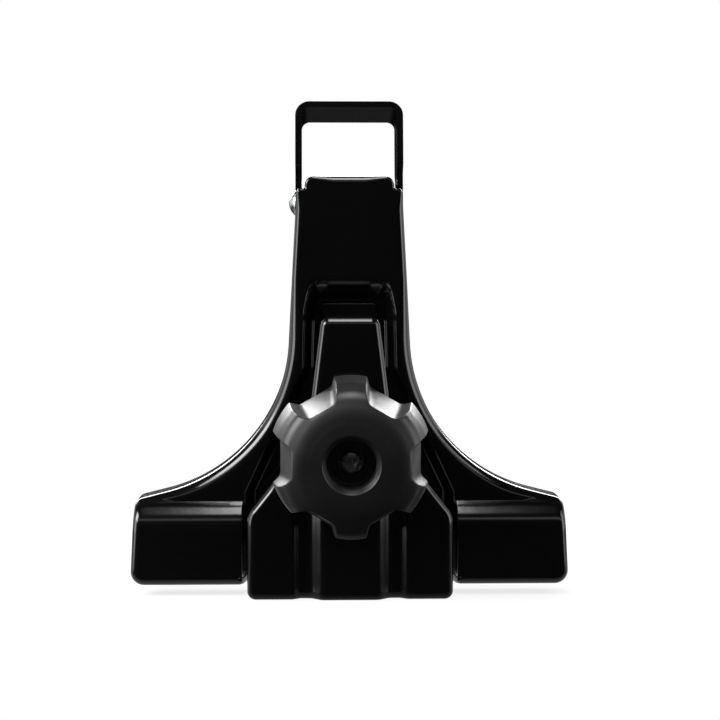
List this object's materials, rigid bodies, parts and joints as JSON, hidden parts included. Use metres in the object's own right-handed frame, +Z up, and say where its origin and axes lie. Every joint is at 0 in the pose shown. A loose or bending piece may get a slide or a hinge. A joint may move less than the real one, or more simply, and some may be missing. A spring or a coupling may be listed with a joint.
{
  "type": "roof bar foot with gutter clamp",
  "caption": "Pressed steel foot that carries a roof bar on its seat under a swinging loop and grips a rain gutter between its wings and a hooked clamp plate drawn in by a lobed hand knob.",
  "frame": {"origin": "middle of the gutter seat, on the plane under the foot's two wings", "axes": "+X to the right along the gutter seen from the knob side, +Y from the knob side towards the car, +Z up to the bar"},
  "size_m": [0.1616, 0.0774, 0.1815],
  "materials": {
    "black_paint": "gloss",
    "zinc_steel": "satin",
    "knob_plastic": "fine satin grain"
  },
  "bodies": {
    "base": {"tower": "black_paint", "cross_pin": "zinc_steel", "carriage_bolt": "zinc_steel"},
    "loop": {"bar_loop": "black_paint"},
    "clamp": {"clamp_plate": "black_paint"},
    "washer": {"thrust_washer": "zinc_steel"},
    "knob": {"knob": "knob_plastic", "knob_insert": "zinc_steel"}
  },
  "joints": [
    {"name": "loop_tilt", "type": "hinge", "parent": "base", "child": "loop", "pos_m": [0, 0.0145, 0.1405], "axis": [1, 0, 0], "range_deg": [-15, 9]},
    {"name": "washer_slide", "type": "slide", "parent": "base", "child": "washer", "axis": [0, -1, 0], "range_m": [0, 0.0075]},
    {"name": "knob_turn", "type": "hinge", "parent": "washer", "child": "knob", "pos_m": [0, -0.03, 0.0495], "axis": [0, -1, 0], "range_deg": [0, 2160]},
    {"name": "clamp_swing", "type": "hinge", "parent": "base", "child": "clamp", "pos_m": [0, 0.0075, 0.1036], "axis": [-1, 0, 0], "range_deg": [0, 6.4]}
  ],
  "couplings": [
    {"joint": "washer_slide", "follows": "knob_turn", "m_per_rad": 0.00019875},
    {"joint": "clamp_swing", "follows": "knob_turn", "ratio": 0.00293}
  ]
}
